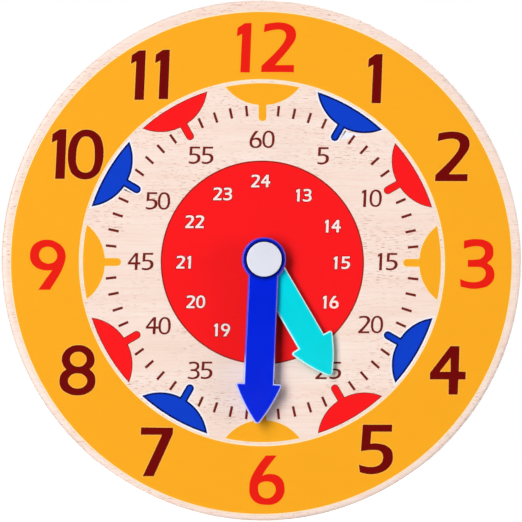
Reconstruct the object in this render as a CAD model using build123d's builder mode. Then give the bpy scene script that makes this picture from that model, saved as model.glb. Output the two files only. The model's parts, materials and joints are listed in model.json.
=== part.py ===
from build123d import *
from math import acos, cos, hypot, pi, radians, sin, tan
import os

os.makedirs("parts", exist_ok=True)

# Geared teaching clock, in millimetres. The dial faces -Y, +X is to the right of the dial and +Z is up.
# The origin is on the hands' axis, in the plane of the wall; a depth is a distance in front of that wall.

# Dial board
board_diameter = 300.0
board_thickness = 8.0
board_front_round = 2.5
board_back_round = 1.5

# Gear train: cannon pinion -> intermediate wheel, intermediate pinion -> hour wheel, twelve to one
gear_module = 1.25
pressure_angle = 25.0
cannon_teeth = 15
intermediate_teeth = 45
small_pinion_teeth = 12
hour_teeth = 48
addendum = 1.0
dedendum = 1.25
tooth_play = 0.14
wheel_thickness = 3.0
web_thickness = 1.5
rim_width = 3.2
web_hole_count = 6
web_hole_share = 0.65

# Gear case and its clear cover
cover_thickness = 2.0
cover_edge = 0.5
lip_height = 1.4
lip_width = 1.2
lip_room = 0.2
case_wall = 2.2
case_floor = 2.0
tip_room = 1.8
boss_height = 1.4
boss_radius = 4.6
blind_floor = 1.0
pillar_radius = 3.8
pillar_stand = 1.8
pillar_blend = 1.5
on_circle = 0.01
lug_radius = 5.2
lug_overlap = 1.5
lug_thickness = 3.0

# Running fits and end play
running_fit = 0.05
end_play = 0.2
fixed_room = 0.15

# Intermediate post, its washer and its clip
post_radius = 2.5
post_head_radius = 4.2
post_head_height = 0.9
clip_thickness = 0.6
clip_groove = 0.5
clip_radius = 4.4
clip_mouth = 0.85
post_washer_thickness = 0.5
post_washer_radius = 5.0
pinion_hub_radius = 5.0
pinion_hub_flat = 4.2
pinion_hub_proud = 0.6

# Minute arbor
arbor_radius = 3.0
arbor_flat = 2.4
journal_radius = 2.0
hand_seat_radius = 2.6
hand_seat_flat = 2.0
nose_radius = 2.0
nose_proud = 0.4
lead_in = 0.3
pinion_overhang = 0.5
pinion_boss_radius = 5.0
pinion_boss_height = 0.5
spring_thickness = 0.3
spring_radius = 6.2

# Hour pipe and its thrust washer
pipe_radius = 5.0
pipe_collar_radius = 7.2
pipe_collar_height = 0.5
pipe_seat_radius = 4.4
thrust_washer_thickness = 0.5
thrust_washer_radius = 8.4

# Centre bush, nut and washer that clamp the case to the board
bush_radius = 7.0
bush_flange_radius = 10.0
bush_flange_height = 1.2
bush_flange_edge = 0.5
bush_tail = 0.3
nut_flats = 18.0
nut_height = 2.0
nut_washer_radius = 11.0
nut_washer_thickness = 0.6

# Hands and the cap over the hub
hand_thickness = 2.8
hand_edge = 1.3
hand_gap = 0.6
hand_lift = 0.3
hour_hand_angle = 149.7
hour_hand_reach = 78.5
hour_shaft_width = 17.0
hour_hub_radius = 11.8
hour_neck = 54.4
hour_barb = 54.6
hour_head_width = 27.6
hour_head_swell = 1.0
minute_hand_angle = 182.4
minute_hand_reach = 95.8
minute_root_width = 17.2
minute_neck_width = 17.7
minute_hub_radius = 12.8
minute_neck = 71.3
minute_barb = 71.3
minute_head_width = 27.6
minute_head_swell = 0.9
barb_round = 1.3
tip_round = 2.2
cap_radius = 10.0
cap_height = 1.7
cap_edge = 0.6
cap_lift = 0.3
cap_skirt_radius = 8.0
cap_skirt_wall = 1.2
cap_pocket_depth = 1.2
cap_groove_width = 1.4
cap_groove_depth = 1.2
cap_groove_proud = 0.6
hand_nut_flats = 8.0
hand_nut_height = 1.6

# Keyhole hanger, a strip bent to stand clear of the board
hanger_inset = 42.0
hanger_strip = 18.0
hanger_sheet = 1.2
hanger_reach = 38.0
hanger_bridge = 23.0
hanger_wall_room = 1.5
hanger_bend = 2.4
hanger_end_round = 4.0
keyhole_entry_radius = 4.5
keyhole_slot_width = 4.6
keyhole_drop = 3.6
keyhole_rise = 8.0

# Rubber feet that hold the board level with the back of the case
foot_count = 4
foot_inset = 28.0
foot_base_radius = 9.5
foot_end_radius = 8.0
foot_end_round = 1.0
foot_well_depth = 9.0
foot_well_radius = 4.6

# Screws
board_screw_radius = 1.5
board_screw_head = 3.4
board_screw_head_height = 2.0
board_screw_grip = 5.5
cover_screw_radius = 1.25
cover_screw_head = 2.8
cover_screw_sink = 0.1
cover_screw_grip = 10.0
screw_hole_room = 0.3
screw_cross_width = 0.9
screw_cross_depth = 0.8
screw_cross_share = 1.1
screw_dome = 0.6
screw_point_taper = 35
countersink_taper = 45

# Depths in front of the wall, worked out from the back of the clear cover forwards
centre_distance = gear_module * (cannon_teeth + intermediate_teeth) / 2
boss_front = cover_thickness + boss_height
clip_back = boss_front + end_play
washer_back = clip_back + clip_thickness
pinion_hub_back = washer_back + post_washer_thickness + end_play
intermediate_back = pinion_hub_back + pinion_hub_proud
intermediate_front = intermediate_back + wheel_thickness
cannon_back = intermediate_back - pinion_overhang
cannon_front = intermediate_front + pinion_overhang
pipe_back = cannon_front + pinion_boss_height + end_play
hour_wheel_back = pipe_back + pipe_collar_height
web_front = hour_wheel_back + web_thickness
hour_wheel_front = hour_wheel_back + wheel_thickness
bush_back = web_front + thrust_washer_thickness + end_play
nut_back = bush_back + bush_tail
case_floor_back = nut_back + nut_height + nut_washer_thickness
board_back = case_floor_back + case_floor
board_front = board_back + board_thickness
hour_hand_back = board_front + bush_flange_height + hand_lift
hour_hand_front = hour_hand_back + hand_thickness
minute_hand_back = hour_hand_front + hand_gap
minute_hand_front = minute_hand_back + hand_thickness
cap_back = minute_hand_front + cap_lift
cap_well_back = minute_hand_back + hand_thickness / 2
nose_front = cap_well_back + hand_nut_height + nose_proud
journal_back = blind_floor + end_play
small_pinion_front = hour_wheel_front + end_play

# Radii that follow from the teeth
hour_tip_radius = gear_module * (hour_teeth / 2 + addendum)
intermediate_tip_radius = gear_module * (intermediate_teeth / 2 + addendum)
hour_room_radius = hour_tip_radius + tip_room
intermediate_room_radius = intermediate_tip_radius + tip_room
board_radius = board_diameter / 2
foot_circle_radius = board_radius - foot_inset
foot_height = board_back
hanger_height = board_radius - hanger_inset

# Where the case is screwed together and screwed down, as (right, up) on the dial
pillar_reach = case_wall / 2 + pillar_stand
diagonal = cos(pi / 4)
pillar_spots = [
    (side * diagonal * (room + pillar_reach), centre + rise * diagonal * (room + pillar_reach))
    for side in (-1, 1)
    for room, centre, rise in (
        (hour_room_radius, 0, 1),
        (intermediate_room_radius, -centre_distance, -1),
    )
]
lug_reach = case_wall + lug_radius - lug_overlap
side_room = (hour_room_radius + intermediate_room_radius) / 2
lugs = [
    # right, up, and the way from the lug to the case
    (0, hour_room_radius + lug_reach, 0, -1),
    (0, -centre_distance - intermediate_room_radius - lug_reach, 0, 1),
    (side_room + lug_reach, -centre_distance / 2, -1, 0),
    (-side_room - lug_reach, -centre_distance / 2, 1, 0),
]
lug_spots = [(right, up) for right, up, across, along in lugs]
foot_spots = [
    (foot_circle_radius * cos(pi / 4 + turn * 2 * pi / foot_count),
     foot_circle_radius * sin(pi / 4 + turn * 2 * pi / foot_count))
    for turn in range(foot_count)
]
hanger_ear_middle = (hanger_reach + hanger_bridge + hanger_sheet) / 2
hanger_screw_spots = [(side * hanger_ear_middle, hanger_height) for side in (-1, 1)]


def front_plane(depth, clockwise=0.0, below=0.0):
    # a plane that faces the viewer of the dial, its upright turned clockwise from twelve
    turn = radians(clockwise)
    return Plane(
        origin=(0, -depth, -below),
        x_dir=(cos(turn), 0, -sin(turn)),
        z_dir=(0, -1, 0),
    )


def second_axis_plane(depth):
    # the same plane with its middle on the intermediate axis, below the hands' axis
    return front_plane(depth, below=centre_distance)


def polar_point(radius, angle):
    return (radius * cos(angle), radius * sin(angle))


def involute(angle):
    return tan(angle) - angle


def tooth_curves(teeth, first_angle):
    # closed outline of a spur gear; first_angle is the direction of the middle of one tooth
    pitch_radius = gear_module * teeth / 2
    base_radius = pitch_radius * cos(radians(pressure_angle))
    tip_radius = pitch_radius + addendum * gear_module
    root_radius = pitch_radius - dedendum * gear_module
    start_radius = max(base_radius, root_radius)
    half_at_pitch = pi / (2 * teeth) - tooth_play / (2 * pitch_radius)

    def half_angle(radius):
        slope = acos(min(1.0, base_radius / radius))
        return half_at_pitch + involute(radians(pressure_angle)) - involute(slope)

    steps = 4
    radii = [start_radius + (tip_radius - start_radius) * k / steps for k in range(steps + 1)]
    root_half = half_angle(start_radius)
    pitch_step = 2 * pi / teeth
    for tooth in range(teeth):
        middle = first_angle + tooth * pitch_step
        rising = [polar_point(r, middle - half_angle(r)) for r in radii]
        falling = [polar_point(r, middle + half_angle(r)) for r in reversed(radii)]
        if root_radius < start_radius:
            Line(polar_point(root_radius, middle - root_half), rising[0])
        Spline(*rising)
        ThreePointArc(rising[-1], polar_point(tip_radius, middle), falling[0])
        Spline(*falling)
        if root_radius < start_radius:
            Line(falling[-1], polar_point(root_radius, middle + root_half))
        ThreePointArc(
            polar_point(root_radius, middle + root_half),
            polar_point(root_radius, middle + pitch_step / 2),
            polar_point(root_radius, middle + pitch_step - root_half),
        )


def hand_curves(reach, root_width, neck_width, neck, barb, head_width, swell):
    # half outline of an arrow-headed hand on each side of its own upright
    for side in (-1, 1):
        root = (side * root_width / 2, 0)
        neck_point = (side * neck_width / 2, neck)
        barb_point = (side * head_width / 2, barb)
        tip = (0, reach)
        middle = (side * (head_width / 4 + swell), (barb + reach) / 2 + swell / 2)
        Polyline((0, 0), root, neck_point, barb_point)
        ThreePointArc(barb_point, middle, tip)


def case_hull(wall):
    # two circles round the two wheels, joined by their outer tangents
    Circle(hour_room_radius + wall)
    with Locations((0, -centre_distance)):
        Circle(intermediate_room_radius + wall)
    make_hull()


def case_outline(sketch):
    # the hull with a screw pillar at each diagonal, blended into the wall
    case_hull(case_wall)
    with Locations(*pillar_spots):
        Circle(pillar_radius)
    corners = [
        corner
        for corner in sketch.vertices()
        if any(abs(hypot(corner.X - x, corner.Y - y) - pillar_radius) < on_circle for x, y in pillar_spots)
    ]
    fillet(corners, pillar_blend)


def double_flat(radius, flat):
    # a round with two flats, above and below its middle
    Circle(radius)
    Rectangle(2 * radius, 2 * flat, mode=Mode.INTERSECT)


def ring(plane, thickness, outer_radius, inner_radius):
    with BuildPart() as washer:
        with BuildSketch(plane):
            Circle(outer_radius)
            Circle(inner_radius, mode=Mode.SUBTRACT)
        extrude(amount=thickness)
    return washer.part


def pan_screw(head_depth, shank_radius, head_radius, head_height, grip):
    # a round-headed screw driven forwards; head_depth is the face its head bears on
    with BuildPart() as screw:
        with BuildSketch(front_plane(head_depth)):
            Circle(head_radius)
        extrude(amount=-head_height)
        fillet(screw.edges().group_by(Axis.Y)[-1], head_height * screw_dome)
        with BuildSketch(front_plane(head_depth)):
            Circle(shank_radius)
        extrude(amount=grip - shank_radius)
        with BuildSketch(front_plane(head_depth + grip - shank_radius)):
            Circle(shank_radius)
        extrude(amount=shank_radius, taper=screw_point_taper)
        with BuildSketch(front_plane(head_depth - head_height)):
            Rectangle(head_radius * screw_cross_share, screw_cross_width)
            Rectangle(screw_cross_width, head_radius * screw_cross_share)
        extrude(amount=screw_cross_depth, mode=Mode.SUBTRACT)
    return screw.part


def placed(solid, spots):
    # the same solid at several places on the dial
    with BuildPart() as group:
        with Locations(*[(right, 0, up) for right, up in spots]):
            add(solid)
    return group.part


# ---- dial board: a round of beech with softened edges, bored for the bush and drilled from the back
with BuildPart() as dial_board:
    with BuildSketch(front_plane(board_back)):
        Circle(board_radius)
    extrude(amount=board_thickness)
    fillet(dial_board.edges().group_by(Axis.Y)[0], board_front_round)
    fillet(dial_board.edges().group_by(Axis.Y)[-1], board_back_round)
    with BuildSketch(front_plane(board_back)):
        Circle(bush_radius + fixed_room)
    extrude(amount=board_thickness, mode=Mode.SUBTRACT)
    with BuildSketch(front_plane(board_back)):
        with Locations(*lug_spots, *foot_spots, *hanger_screw_spots):
            Circle(board_screw_radius)
    extrude(amount=board_screw_grip, mode=Mode.SUBTRACT)

# ---- gear case: a shallow moulded tray, open to the back, with pillars for the cover and four lugs
with BuildPart() as gear_case:
    with BuildSketch(front_plane(cover_thickness)) as tray:
        case_outline(tray)
    extrude(amount=board_back - cover_thickness)
    with BuildSketch(front_plane(board_back - lug_thickness)):
        for right, up, across, along in lugs:
            with Locations((right, up)):
                Circle(lug_radius)
            with Locations((right + across * lug_radius, up + along * lug_radius)):
                Rectangle(2 * lug_radius, 2 * lug_radius)
    extrude(amount=lug_thickness)
    with BuildSketch(front_plane(cover_thickness)):
        case_hull(0)
    extrude(amount=case_floor_back - cover_thickness, mode=Mode.SUBTRACT)
    with BuildSketch(second_axis_plane(small_pinion_front + end_play)):
        Circle(boss_radius)
    extrude(amount=board_back - small_pinion_front - end_play)
    with BuildSketch(front_plane(case_floor_back)):
        Circle(bush_radius + fixed_room)
        with Locations(*lug_spots):
            Circle(board_screw_radius + screw_hole_room)
    extrude(amount=case_floor, mode=Mode.SUBTRACT)
    with BuildSketch(front_plane(board_back - lug_thickness)):
        with Locations(*lug_spots):
            Circle(board_screw_radius + screw_hole_room)
    extrude(amount=lug_thickness, mode=Mode.SUBTRACT)
    with BuildSketch(second_axis_plane(small_pinion_front + end_play)):
        Circle(post_radius)
    extrude(amount=board_back - small_pinion_front - end_play, mode=Mode.SUBTRACT)
    with BuildSketch(second_axis_plane(board_back)):
        Circle(post_head_radius)
    extrude(amount=-post_head_height, mode=Mode.SUBTRACT)
    with BuildSketch(front_plane(cover_thickness)):
        with Locations(*pillar_spots):
            Circle(cover_screw_radius)
    extrude(amount=cover_screw_grip, mode=Mode.SUBTRACT)

# ---- rear cover: a clear plate with a locating lip, two bearing bosses and countersunk screw holes
with BuildPart() as rear_cover:
    with BuildSketch(front_plane(0)) as plate:
        case_outline(plate)
    extrude(amount=cover_thickness)
    chamfer(rear_cover.faces().sort_by(Axis.Y)[-1].edges(), cover_edge)
    with BuildSketch(front_plane(cover_thickness)):
        case_hull(-lip_room)
    extrude(amount=lip_height)
    with BuildSketch(front_plane(cover_thickness)):
        case_hull(-lip_room - lip_width)
    extrude(amount=lip_height, mode=Mode.SUBTRACT)
    with BuildSketch(front_plane(cover_thickness)):
        with Locations((0, 0), (0, -centre_distance)):
            Circle(boss_radius)
    extrude(amount=boss_height)
    with BuildSketch(front_plane(blind_floor)):
        Circle(journal_radius + running_fit)
        with Locations((0, -centre_distance)):
            Circle(post_radius + running_fit)
    extrude(amount=boss_front - blind_floor, mode=Mode.SUBTRACT)
    with Locations(*[Location((x, 0, z), (90, 0, 0)) for x, z in pillar_spots]):
        Hole(cover_screw_radius + screw_hole_room)
    with BuildSketch(front_plane(0)):
        with Locations(*pillar_spots):
            Circle(cover_screw_head + cover_screw_sink)
    extrude(amount=cover_screw_head - cover_screw_radius, taper=countersink_taper, mode=Mode.SUBTRACT)

# ---- cover screws: countersunk, flush with the back of the cover
with BuildPart() as cover_screw:
    with BuildSketch(front_plane(cover_screw_sink)):
        Circle(cover_screw_head)
    extrude(amount=cover_screw_head - cover_screw_radius, taper=countersink_taper)
    with BuildSketch(front_plane(cover_screw_sink + cover_screw_head - cover_screw_radius)):
        Circle(cover_screw_radius)
    extrude(amount=cover_screw_grip - cover_screw_head)
    with BuildSketch(front_plane(cover_screw_sink)):
        Rectangle(cover_screw_head * screw_cross_share, screw_cross_width)
        Rectangle(screw_cross_width, cover_screw_head * screw_cross_share)
    extrude(amount=screw_cross_depth, mode=Mode.SUBTRACT)
cover_screws = placed(cover_screw.part, pillar_spots)

case_screws = placed(
    pan_screw(
        board_back - lug_thickness,
        board_screw_radius,
        board_screw_head,
        board_screw_head_height,
        lug_thickness + board_screw_grip,
    ),
    lug_spots,
)

# ---- centre bush: a flanged tube through board and case, held by a nut and washer inside the case
with BuildPart() as centre_bush:
    with BuildSketch(front_plane(bush_back)):
        Circle(bush_radius)
    extrude(amount=board_front - bush_back)
    with BuildSketch(front_plane(board_front)):
        Circle(bush_flange_radius)
    extrude(amount=bush_flange_height)
    chamfer(centre_bush.edges().group_by(Axis.Y)[0], bush_flange_edge)
    with BuildSketch(front_plane(bush_back)):
        Circle(pipe_radius + running_fit)
    extrude(amount=board_front + bush_flange_height - bush_back, mode=Mode.SUBTRACT)

with BuildPart() as bush_nut:
    with BuildSketch(front_plane(nut_back)):
        RegularPolygon(nut_flats / 2, 6, major_radius=False)
        Circle(bush_radius, mode=Mode.SUBTRACT)
    extrude(amount=nut_height)

bush_washer = ring(
    front_plane(nut_back + nut_height),
    nut_washer_thickness,
    nut_washer_radius,
    bush_radius + fixed_room,
)

# ---- intermediate post: headed pin trapped between case and board, grooved for a clip at its back
with BuildPart() as wheel_post:
    with BuildSketch(second_axis_plane(board_back)):
        Circle(post_head_radius)
    extrude(amount=-post_head_height)
    with BuildSketch(second_axis_plane(blind_floor + end_play)):
        Circle(post_radius)
    extrude(amount=board_back - post_head_height - blind_floor - end_play)
    with BuildSketch(second_axis_plane(clip_back)):
        Circle(post_radius)
        Circle(post_radius - clip_groove, mode=Mode.SUBTRACT)
    extrude(amount=clip_thickness, mode=Mode.SUBTRACT)

# ---- retaining clip: a ring open on one side, sprung into the groove of the post
with BuildPart() as post_clip:
    with BuildSketch(second_axis_plane(clip_back)):
        Circle(clip_radius)
        Circle(post_radius - clip_groove, mode=Mode.SUBTRACT)
        with Locations((0, -clip_radius / 2)):
            Rectangle(clip_mouth * 2 * (post_radius - clip_groove), clip_radius, mode=Mode.SUBTRACT)
    extrude(amount=clip_thickness)

post_washer = ring(
    second_axis_plane(washer_back),
    post_washer_thickness,
    post_washer_radius,
    post_radius + running_fit,
)

# ---- intermediate wheel: rim, web with round holes and a hub cut to the pinion's two flats
with BuildPart() as intermediate_wheel:
    with BuildSketch(second_axis_plane(intermediate_back)):
        with BuildLine():
            tooth_curves(intermediate_teeth, pi / 2 + pi / intermediate_teeth)
        make_face()
    extrude(amount=wheel_thickness)
    intermediate_rim = gear_module * (intermediate_teeth / 2 - dedendum) - rim_width
    intermediate_hub = pinion_hub_radius + rim_width
    with BuildSketch(second_axis_plane(intermediate_back)):
        Circle(intermediate_rim)
        Circle(intermediate_hub, mode=Mode.SUBTRACT)
    extrude(amount=wheel_thickness - web_thickness, mode=Mode.SUBTRACT)
    with BuildSketch(second_axis_plane(intermediate_back)):
        with PolarLocations((intermediate_rim + intermediate_hub) / 2, web_hole_count):
            Circle((intermediate_rim - intermediate_hub) * web_hole_share / 2)
    extrude(amount=wheel_thickness, mode=Mode.SUBTRACT)
    with BuildSketch(second_axis_plane(intermediate_back)):
        double_flat(pinion_hub_radius, pinion_hub_flat)
    extrude(amount=wheel_thickness, mode=Mode.SUBTRACT)

# ---- intermediate pinion: teeth in front, a hub with two flats that carries the wheel behind
with BuildPart() as intermediate_pinion:
    with BuildSketch(second_axis_plane(intermediate_front)):
        with BuildLine():
            tooth_curves(small_pinion_teeth, pi / 2 + pi / small_pinion_teeth)
        make_face()
    extrude(amount=small_pinion_front - intermediate_front)
    with BuildSketch(second_axis_plane(pinion_hub_back)):
        double_flat(pinion_hub_radius, pinion_hub_flat)
    extrude(amount=intermediate_front - pinion_hub_back)
    with BuildSketch(second_axis_plane(pinion_hub_back)):
        Circle(post_radius + running_fit)
    extrude(amount=small_pinion_front - pinion_hub_back, mode=Mode.SUBTRACT)

# ---- hour wheel: thin web set back so that the bush nut can stand inside its rim
with BuildPart() as hour_wheel:
    with BuildSketch(front_plane(hour_wheel_back)):
        with BuildLine():
            tooth_curves(hour_teeth, -pi / 2)
        make_face()
    extrude(amount=wheel_thickness)
    hour_rim = gear_module * (hour_teeth / 2 - dedendum) - rim_width
    with BuildSketch(front_plane(web_front)):
        Circle(hour_rim)
    extrude(amount=wheel_thickness - web_thickness, mode=Mode.SUBTRACT)
    with BuildSketch(front_plane(hour_wheel_back)):
        Circle(pipe_radius)
        with PolarLocations((hour_rim + thrust_washer_radius) / 2, web_hole_count):
            Circle((hour_rim - thrust_washer_radius) * web_hole_share / 2)
    extrude(amount=web_thickness, mode=Mode.SUBTRACT)

# ---- hour pipe: collared tube that carries the hour wheel behind and the hour hand in front
with BuildPart() as hour_pipe:
    with BuildSketch(front_plane(pipe_back)):
        Circle(pipe_collar_radius)
    extrude(amount=pipe_collar_height)
    with BuildSketch(front_plane(hour_wheel_back)):
        Circle(pipe_radius)
    extrude(amount=hour_hand_back - hour_wheel_back)
    with BuildSketch(front_plane(hour_hand_back)):
        Circle(pipe_seat_radius)
    extrude(amount=hand_thickness)
    chamfer(hour_pipe.edges().group_by(Axis.Y)[0], lead_in)
    with BuildSketch(front_plane(pipe_back)):
        Circle(arbor_radius + running_fit)
    extrude(amount=hour_hand_front - pipe_back, mode=Mode.SUBTRACT)

thrust_washer = ring(
    front_plane(web_front),
    thrust_washer_thickness,
    thrust_washer_radius,
    pipe_radius + running_fit,
)

# ---- minute arbor: stepped shaft with flats for the pinion and for the hand, and a threaded nose
with BuildPart() as minute_arbor:
    with BuildSketch(front_plane(journal_back)):
        Circle(journal_radius)
    extrude(amount=cannon_back - end_play - journal_back)
    with BuildSketch(front_plane(cannon_back - end_play)):
        double_flat(arbor_radius, arbor_flat)
    extrude(amount=cannon_front + pinion_boss_height - cannon_back + end_play)
    with BuildSketch(front_plane(cannon_front + pinion_boss_height)):
        Circle(arbor_radius)
    extrude(amount=minute_hand_back - cannon_front - pinion_boss_height)
    with BuildSketch(front_plane(minute_hand_back, minute_hand_angle)):
        double_flat(hand_seat_radius, hand_seat_flat)
    extrude(amount=cap_well_back - minute_hand_back)
    with BuildSketch(front_plane(cap_well_back)):
        Circle(nose_radius)
    extrude(amount=nose_front - cap_well_back)
    chamfer(minute_arbor.edges().group_by(Axis.Y)[0], lead_in)

# ---- cannon pinion: drives the train, keyed to the two flats of the arbor
with BuildPart() as cannon_pinion:
    with BuildSketch(front_plane(cannon_back)):
        with BuildLine():
            tooth_curves(cannon_teeth, -pi / 2)
        make_face()
    extrude(amount=cannon_front - cannon_back)
    with BuildSketch(front_plane(cannon_front)):
        Circle(pinion_boss_radius)
    extrude(amount=pinion_boss_height)
    with BuildSketch(front_plane(cannon_back)):
        double_flat(arbor_radius, arbor_flat)
    extrude(amount=cannon_front + pinion_boss_height - cannon_back, mode=Mode.SUBTRACT)

# ---- friction spring: a coned disc between the cover's boss and the cannon pinion
spring_hole = journal_radius + end_play
spring_back = boss_front + end_play / 2
with BuildPart() as friction_spring:
    with BuildSketch(Plane.XY):
        with BuildLine():
            Polyline(
                (spring_hole, -spring_back),
                (spring_radius, -cannon_back + spring_thickness),
                (spring_radius, -cannon_back),
                (spring_hole, -spring_back - spring_thickness),
                close=True,
            )
        make_face()
    revolve(axis=Axis.Y)

# ---- hour hand: broad moulded arrow pressed on the end of the hour pipe
with BuildPart() as hour_hand:
    with BuildSketch(front_plane(hour_hand_back, hour_hand_angle)) as hour_outline:
        with BuildLine():
            hand_curves(
                hour_hand_reach,
                hour_shaft_width,
                hour_shaft_width,
                hour_neck,
                hour_barb,
                hour_head_width,
                hour_head_swell,
            )
        make_face()
        Circle(hour_hub_radius)
        fillet(hour_outline.vertices().sort_by(Axis.Y)[-1], tip_round)
        fillet(hour_outline.vertices().group_by(Axis.X)[0], barb_round)
        fillet(hour_outline.vertices().group_by(Axis.X)[-1], barb_round)
    extrude(amount=hand_thickness)
    fillet(hour_hand.faces().sort_by(Axis.Y)[0].edges(), hand_edge)
    with BuildSketch(front_plane(hour_hand_back)):
        Circle(pipe_seat_radius)
    extrude(amount=hand_thickness, mode=Mode.SUBTRACT)

# ---- minute hand: the longer arrow, keyed to the arbor, with a well for the nut and the cap
with BuildPart() as minute_hand:
    with BuildSketch(front_plane(minute_hand_back, minute_hand_angle)) as minute_outline:
        with BuildLine():
            hand_curves(
                minute_hand_reach,
                minute_root_width,
                minute_neck_width,
                minute_neck,
                minute_barb,
                minute_head_width,
                minute_head_swell,
            )
        make_face()
        Circle(minute_hub_radius)
        fillet(minute_outline.vertices().sort_by(Axis.Y)[-1], tip_round)
        fillet(minute_outline.vertices().group_by(Axis.X)[0], barb_round)
        fillet(minute_outline.vertices().group_by(Axis.X)[-1], barb_round)
    extrude(amount=hand_thickness)
    fillet(minute_hand.faces().sort_by(Axis.Y)[0].edges(), hand_edge)
    with BuildSketch(front_plane(cap_well_back)):
        Circle(cap_skirt_radius)
    extrude(amount=minute_hand_front - cap_well_back, mode=Mode.SUBTRACT)
    with BuildSketch(front_plane(minute_hand_front)):
        Circle(cap_radius + cap_groove_proud)
        Circle(cap_radius + cap_groove_proud - cap_groove_width, mode=Mode.SUBTRACT)
    extrude(amount=-cap_groove_depth, mode=Mode.SUBTRACT)
    with BuildSketch(front_plane(minute_hand_back, minute_hand_angle)):
        double_flat(hand_seat_radius, hand_seat_flat)
    extrude(amount=cap_well_back - minute_hand_back, mode=Mode.SUBTRACT)

with BuildPart() as hand_nut:
    with BuildSketch(front_plane(cap_well_back)):
        RegularPolygon(hand_nut_flats / 2, 6, major_radius=False)
        Circle(nose_radius, mode=Mode.SUBTRACT)
    extrude(amount=hand_nut_height)

# ---- hub cap: a flat disc whose skirt snaps into the well of the minute hand
with BuildPart() as hub_cap:
    with BuildSketch(front_plane(cap_back)):
        Circle(cap_radius)
    extrude(amount=cap_height)
    fillet(hub_cap.edges().group_by(Axis.Y)[0], cap_edge)
    with BuildSketch(front_plane(cap_well_back)):
        Circle(cap_skirt_radius)
    extrude(amount=cap_back - cap_well_back)
    with BuildSketch(front_plane(cap_well_back)):
        Circle(cap_skirt_radius - cap_skirt_wall)
    extrude(amount=cap_back - cap_well_back + cap_pocket_depth, mode=Mode.SUBTRACT)

# ---- hanger plate: hat-shaped steel strip with a keyhole in its raised middle
with BuildPart() as hanger_plate:
    with BuildSketch(Plane.XY.offset(hanger_height - hanger_strip / 2)):
        with BuildLine():
            foot_line = -board_back + hanger_sheet / 2
            bridge_line = -hanger_wall_room - hanger_sheet / 2
            FilletPolyline(
                (-hanger_reach, foot_line),
                (-hanger_bridge - hanger_sheet / 2, foot_line),
                (-hanger_bridge + hanger_sheet / 2, bridge_line),
                (hanger_bridge - hanger_sheet / 2, bridge_line),
                (hanger_bridge + hanger_sheet / 2, foot_line),
                (hanger_reach, foot_line),
                radius=hanger_bend,
            )
        trace(line_width=hanger_sheet)
    extrude(amount=hanger_strip)
    strip_ends = hanger_plate.edges().filter_by(Axis.Y).group_by(Axis.X)
    fillet(strip_ends[0] + strip_ends[-1], hanger_end_round)
    with BuildSketch(front_plane(hanger_wall_room)):
        with Locations((0, hanger_height - keyhole_drop)):
            Circle(keyhole_entry_radius)
        with Locations((0, hanger_height - keyhole_drop + keyhole_rise / 2)):
            Rectangle(keyhole_slot_width, keyhole_rise)
        with Locations((0, hanger_height - keyhole_drop + keyhole_rise)):
            Circle(keyhole_slot_width / 2)
    extrude(amount=hanger_sheet, mode=Mode.SUBTRACT)
    with BuildSketch(front_plane(board_back - hanger_sheet)):
        with Locations(*hanger_screw_spots):
            Circle(board_screw_radius + screw_hole_room)
    extrude(amount=hanger_sheet, mode=Mode.SUBTRACT)

hanger_screws = placed(
    pan_screw(
        board_back - hanger_sheet,
        board_screw_radius,
        board_screw_head,
        board_screw_head_height,
        hanger_sheet + board_screw_grip,
    ),
    hanger_screw_spots,
)

# ---- rubber feet: tapered buffers, each with a deep well for its screw
with BuildPart() as rubber_foot:
    with BuildSketch(front_plane(board_back)):
        Circle(foot_base_radius)
    with BuildSketch(front_plane(0)):
        Circle(foot_end_radius)
    loft()
    fillet(rubber_foot.edges().group_by(Axis.Y)[-1], foot_end_round)
    with BuildSketch(front_plane(0)):
        Circle(foot_well_radius)
    extrude(amount=foot_well_depth, mode=Mode.SUBTRACT)
    with BuildSketch(front_plane(foot_well_depth)):
        Circle(board_screw_radius + screw_hole_room)
    extrude(amount=foot_height - foot_well_depth, mode=Mode.SUBTRACT)
rubber_feet = placed(rubber_foot.part, foot_spots)

foot_screws = placed(
    pan_screw(
        foot_well_depth,
        board_screw_radius,
        board_screw_head,
        board_screw_head_height,
        foot_height - foot_well_depth + board_screw_grip,
    ),
    foot_spots,
)

pieces = {
    "dial_board": dial_board.part,
    "gear_case": gear_case.part,
    "rear_cover": rear_cover.part,
    "cover_screws": cover_screws,
    "case_screws": case_screws,
    "centre_bush": centre_bush.part,
    "bush_nut": bush_nut.part,
    "bush_washer": bush_washer,
    "wheel_post": wheel_post.part,
    "post_clip": post_clip.part,
    "post_washer": post_washer,
    "intermediate_wheel": intermediate_wheel.part,
    "intermediate_pinion": intermediate_pinion.part,
    "hour_wheel": hour_wheel.part,
    "hour_pipe": hour_pipe.part,
    "thrust_washer": thrust_washer,
    "minute_arbor": minute_arbor.part,
    "cannon_pinion": cannon_pinion.part,
    "friction_spring": friction_spring.part,
    "hour_hand": hour_hand.part,
    "minute_hand": minute_hand.part,
    "hand_nut": hand_nut.part,
    "hub_cap": hub_cap.part,
    "hanger_plate": hanger_plate.part,
    "hanger_screws": hanger_screws,
    "rubber_feet": rubber_feet,
    "foot_screws": foot_screws,
}
for name, piece in pieces.items():
    piece.label = name
    export_step(piece, f"parts/{name}.step")
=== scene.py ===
import json
import math
import bpy
from mathutils import Matrix, Vector

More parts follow.
